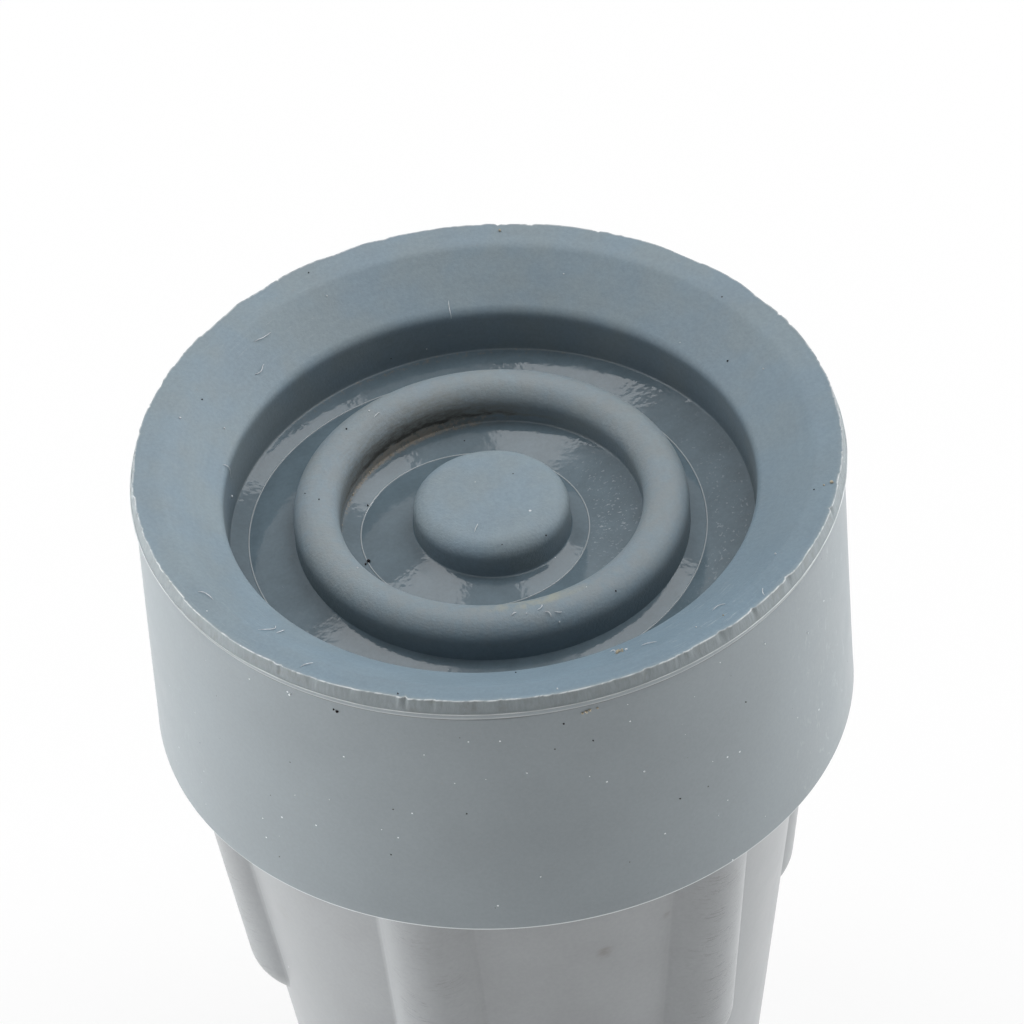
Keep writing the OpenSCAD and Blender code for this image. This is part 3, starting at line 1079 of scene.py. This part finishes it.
class Surface:
    """The finished surfaces, to lay small matter on."""

    def __init__(self, names):
        points, faces = [], []
        for name in names:
            mesh = bpy.data.objects[name].data
            first = len(points)
            points += [vertex.co.copy() for vertex in mesh.vertices]
            faces += [[first + v for v in face.vertices] for face in mesh.polygons]
        self.tree = BVHTree.FromPolygons(points, faces)

    def met(self, start, direction):
        """The point and the normal where a line first meets the rubber."""
        at, normal, *_ = self.tree.ray_cast(start, direction)
        if at is None:
            raise RuntimeError("A fibre or a crumb would lie off the rubber")
        return at, normal

    def under(self, x, y):
        """The point and the normal straight below a place over the tread."""
        return self.met(Vector((x, y, 1.2 * RIM_Z)), Vector((0, 0, -1)))

    def beside(self, bearing, z):
        """The point and the normal on the side, straight in towards the axis."""
        out = Vector((math.cos(bearing), math.sin(bearing), 0))
        return self.met(out * 3 * LIP_RADIUS + Vector((0, 0, z)), -out)


def crumb(form, at, normal, size, draw):
    """Adds an uneven lump that lies on the surface."""
    made = bmesh.ops.create_icosphere(form, subdivisions=2, radius=size / 2)["verts"]
    flat = Vector(draw.uniform(0.55, 1.0, 3))
    turned = Matrix.Rotation(draw.uniform(0, math.tau), 3, "Z")
    for vertex in made:
        lump = turned @ (vertex.co * flat) * (1 + draw.normal(0, 0.12))
        vertex.co = at + normal * (0.15 * size) + lump


def fibre(form, surface, start, heading, run, bend, thick, draw):
    """Adds a thin round fibre that follows the surface in a curve."""
    steps, sides = 22, 6
    here, line = Vector(start), []
    for i in range(steps + 1):
        at, normal = surface.under(here.x, here.y)
        rise = thick * (0.4 + 1.6 * math.sin(math.pi * i / steps))
        line.append(at + normal * rise)
        heading += bend / steps + draw.normal(0, 0.09)
        here += Vector((math.cos(heading), math.sin(heading))) * run / steps
    rings = []
    for i, at in enumerate(line):
        along = (line[min(i + 1, steps)] - line[max(i - 1, 0)]).normalized()
        side = along.cross(Vector((0, 0, 1))).normalized()
        over = side.cross(along)
        width = thick / 2 * min(1, 0.3 + 3 * min(i, steps - i) / steps)
        rings.append([
            form.verts.new(at + (side * math.cos(a) + over * math.sin(a)) * width)
            for a in (math.tau * k / sides for k in range(sides))
        ])
    for low, high in zip(rings, rings[1:]):
        for k in range(sides):
            form.faces.new((low[k], low[(k + 1) % sides], high[(k + 1) % sides], high[k]))
    form.faces.new(rings[0][::-1])
    form.faces.new(rings[-1])


def small_matter(name, form, material):
    """Makes one piece of the small things of one kind."""
    mesh = bpy.data.meshes.new(name)
    for vertex in form.verts:
        vertex.co.z = min(vertex.co.z, RIM_Z - 0.01 * MM)
        vertex.co.xy *= min(1, (LIP_RADIUS - 0.01 * MM) / vertex.co.xy.length)
    bmesh.ops.recalc_face_normals(form, faces=form.faces)
    form.to_mesh(mesh)
    form.free()
    mesh.materials.append(material)
    mesh.shade_smooth()
    place(bpy.data.objects.new(name, mesh))


class CANE_TIP_OT_lint_and_grit(bpy.types.Operator):
    """Lay fibres, specks of grit and crumbs of dried mud on the rubber"""

    bl_idname = "cane_tip.lint_and_grit"
    bl_label = "Lint and Grit"

    def execute(self, context):
        colours = context.scene.cane_tip_colours
        surface = Surface(("tread_dish", "tread_ring", "foot_side"))
        draw = np.random.default_rng(SMALL_MATTER_SEED)
        form = bmesh.new()
        for distance, bearing, heading, run, bend in FIBRES:
            start = Matrix.Rotation(math.radians(bearing), 2) @ Vector((distance * MM, 0))
            fibre(form, surface, start, math.radians(heading), run * MM, math.radians(bend),
                  FIBRE_THICKNESS * MM, draw)
        small_matter("lint", form, debris("Lint", colours.lint))
        kinds = (
            ("dark_grit", DARK_GRIT, SIDE_DARK_GRIT, debris("Dark Grit", colours.grit)),
            ("pale_grit", PALE_GRIT, SIDE_PALE_GRIT, debris("Pale Grit", colours.lint)),
            ("mud_crumbs", MUD_CRUMBS + self.pressed_mud(draw), SIDE_MUD_CRUMBS,
             debris("Mud Crumbs", colours.mud)),
        )
        for name, on_tread, on_side, material in kinds:
            form = bmesh.new()
            for distance, bearing, size in on_tread:
                turn, out = math.radians(bearing), distance * MM
                at, normal = surface.under(out * math.cos(turn), out * math.sin(turn))
                crumb(form, at, normal, size * MM, draw)
            for bearing, below, size in on_side:
                at, normal = surface.beside(math.radians(bearing), RIM_Z - below * MM)
                crumb(form, at, normal, size * MM, draw)
            small_matter(name, form, material)
        return {"FINISHED"}

    def pressed_mud(self, draw):
        """Places and sizes of the crumbs at the foot of the ring's inner side."""
        tread = bpy.context.scene.cane_tip_tread
        corner = (tread.ring_radius - tread.ring_width / 2) / MM
        return tuple(
            (corner - abs(draw.normal(0.02, 0.07)), draw.normal(134, 15), draw.uniform(0.04, 0.1))
            for _ in range(PRESSED_CRUMBS)
        )


# ---------------------------------------------------------------- the studio


SENSOR_WIDTH = 36.0
WHITE = (1, 1, 1, 1)
# How far the floor shows as plain white; its own shading, with the shadow, is the rest
FLOOR_GLOW = 0.82
FLOOR_HALF_WIDTH = 3.0
FLOOR_Z = -0.02 * MM

LAMPS = {
    # name: where (right, away from the camera, up), (width, depth), watts, the way it faces
    "lamp_over_left": ((-0.41, 0.42, 1.05), (0.68, 0.42), 2.95, (0, 0, -1)),
    "lamp_over_right": ((0.58, 0.42, 1.05), (0.83, 0.9), 6.75, (0, 0, -1)),
    "lamp_low_right": ((1.0, 0.32, 0.3), (0.7, 0.5), 5.2, (-1, -0.35, -0.25)),
    "lamp_low_left": ((-1.05, 0.1, 0.3), (1.0, 0.5), 3.7, (1, -0.12, -0.25)),
    "card_front_left": ((-0.16, -0.2, 0.022), (0.3, 0.04), 0.14, (0.62, 0.78, 0)),
    "card_left": ((-0.25, 0.08, 0.022), (0.3, 0.04), 0.6, (1, 0, 0)),
    "card_right": ((0.25, 0.08, 0.022), (0.3, 0.04), 0.4, (-1, 0, 0)),
}


def studio_lamp(name, at, size, watts, facing, turn):
    """A rectangular soft lamp, placed as seen from the camera's side of the part."""
    lamp = bpy.data.lights.new(name, "AREA")
    lamp.shape = "RECTANGLE"
    lamp.size, lamp.size_y = size
    lamp.energy = watts
    piece = bpy.data.objects.new(name, lamp)
    back = -Vector(facing).normalized()
    aimed = back.to_track_quat("Z", "Y").to_matrix().to_4x4()
    about = Matrix.Rotation(turn, 4, "Z")
    piece.matrix_world = about @ Matrix.Translation(Vector(at)) @ aimed
    piece.visible_camera = False
    bpy.context.scene.collection.objects.link(piece)


def pale_world(sky):
    """Light from all round, which the camera, gloss and glass see as plain white."""
    world = bpy.data.worlds.new("Pale Studio")
    world.use_nodes = True
    nodes = Nodes(world.node_tree)
    light, plain = (nodes.node("ShaderNodeBackground") for _ in range(2))
    for shader, strength in ((light, sky), (plain, 1.0)):
        nodes.feed(shader.inputs["Color"], WHITE)
        nodes.feed(shader.inputs["Strength"], strength)
    out = nodes.node("ShaderNodeOutputWorld")
    nodes.blend(nodes.seen_plainly(), light.outputs[0], plain.outputs[0], out.inputs[0])
    bpy.context.scene.world = world


def pale_floor():
    """A white floor that keeps the shadow on it and shows as nearly plain white."""
    mesh = bpy.data.meshes.new("floor")
    corners = ((-1, -1), (1, -1), (1, 1), (-1, 1))
    points = [(x * FLOOR_HALF_WIDTH, y * FLOOR_HALF_WIDTH, FLOOR_Z) for x, y in corners]
    mesh.from_pydata(points, [], [(0, 1, 2, 3)])
    floor = bpy.data.objects.new("floor", mesh)
    bpy.context.scene.collection.objects.link(floor)
    f = Finish("Pale Floor")
    mesh.materials.append(f.finish((0.9, 0.9, 0.9, 1), 0.9, specular=0.1))
    glow = f.node("ShaderNodeEmission")
    f.feed(glow.inputs["Color"], WHITE)
    f.feed(glow.inputs["Strength"], 1.0)
    amount = f.math("MULTIPLY", f.seen_plainly(), FLOOR_GLOW)
    f.blend(amount, f.shader.outputs[0], glow.outputs[0], f.output.inputs[0])


def studio_camera(studio):
    """The camera looks down on the tread, with the rim a little off the view's middle."""
    data = bpy.data.cameras.new("camera")
    data.sensor_width = SENSOR_WIDTH
    data.lens = studio.lens / MM
    data.clip_end = 10
    camera = bpy.data.objects.new("camera", data)
    bpy.context.scene.collection.objects.link(camera)
    toward = Vector((
        math.cos(studio.height) * math.cos(studio.bearing),
        math.cos(studio.height) * math.sin(studio.bearing),
        math.sin(studio.height),
    ))
    level = toward.to_track_quat("Z", "Y").to_matrix()
    rolled = level @ Matrix.Rotation(studio.roll, 3, "Z")
    rim_seen = Vector((-math.tan(studio.rim_left), math.tan(studio.rim_up), -1)).normalized()
    aimed = rolled @ rim_seen.rotation_difference(Vector((0, 0, -1))).to_matrix()
    at = Vector((0, 0, RIM_Z)) + toward * studio.distance
    camera.matrix_world = Matrix.Translation(at) @ aimed.to_4x4()
    bpy.context.scene.camera = camera


class CANE_TIP_OT_studio(bpy.types.Operator):
    """Set the pale floor, the soft lamps and the camera"""

    bl_idname = "cane_tip.studio"
    bl_label = "Studio"

    def execute(self, context):
        studio = context.scene.cane_tip_studio
        pale_floor()
        pale_world(studio.sky)
        for name, (at, size, watts, facing) in LAMPS.items():
            studio_lamp(name, at, size, watts, facing, studio.bearing + math.pi / 2)
        studio_camera(studio)
        context.scene.view_settings.view_transform = "Standard"
        return {"FINISHED"}


# ---------------------------------------------------------------- running it


OPERATORS = (
    CANE_TIP_OT_tread_dish,
    CANE_TIP_OT_tread_ring,
    CANE_TIP_OT_foot_side,
    CANE_TIP_OT_neck,
    CANE_TIP_OT_lint_and_grit,
    CANE_TIP_OT_studio,
)


class CANE_TIP_PT_panel(bpy.types.Panel):
    """Everything that builds the cane tip, in order"""

    bl_idname = "CANE_TIP_PT_panel"
    bl_label = "Cane Tip"
    bl_space_type = "VIEW_3D"
    bl_region_type = "UI"
    bl_category = "Cane Tip"

    def draw(self, context):
        for operator in OPERATORS:
            self.layout.operator(operator.bl_idname)


def register():
    """Makes the settings, the operators and the panel known."""
    for group in SETTINGS.values():
        bpy.utils.register_class(group)
    for name, group in SETTINGS.items():
        setattr(bpy.types.Scene, name, PointerProperty(type=group))
    for operator in OPERATORS:
        bpy.utils.register_class(operator)
    bpy.utils.register_class(CANE_TIP_PT_panel)


def unregister():
    """Takes them away again, in the opposite order."""
    bpy.utils.unregister_class(CANE_TIP_PT_panel)
    for operator in reversed(OPERATORS):
        bpy.utils.unregister_class(operator)
    for name, group in SETTINGS.items():
        delattr(bpy.types.Scene, name)
        bpy.utils.unregister_class(group)


def main():
    """Builds every piece and the studio."""
    register()
    bpy.ops.cane_tip.tread_dish()
    bpy.ops.cane_tip.tread_ring()
    bpy.ops.cane_tip.foot_side()
    bpy.ops.cane_tip.neck()
    bpy.ops.cane_tip.lint_and_grit()
    bpy.ops.cane_tip.studio()


if __name__ == "__main__":
    main()
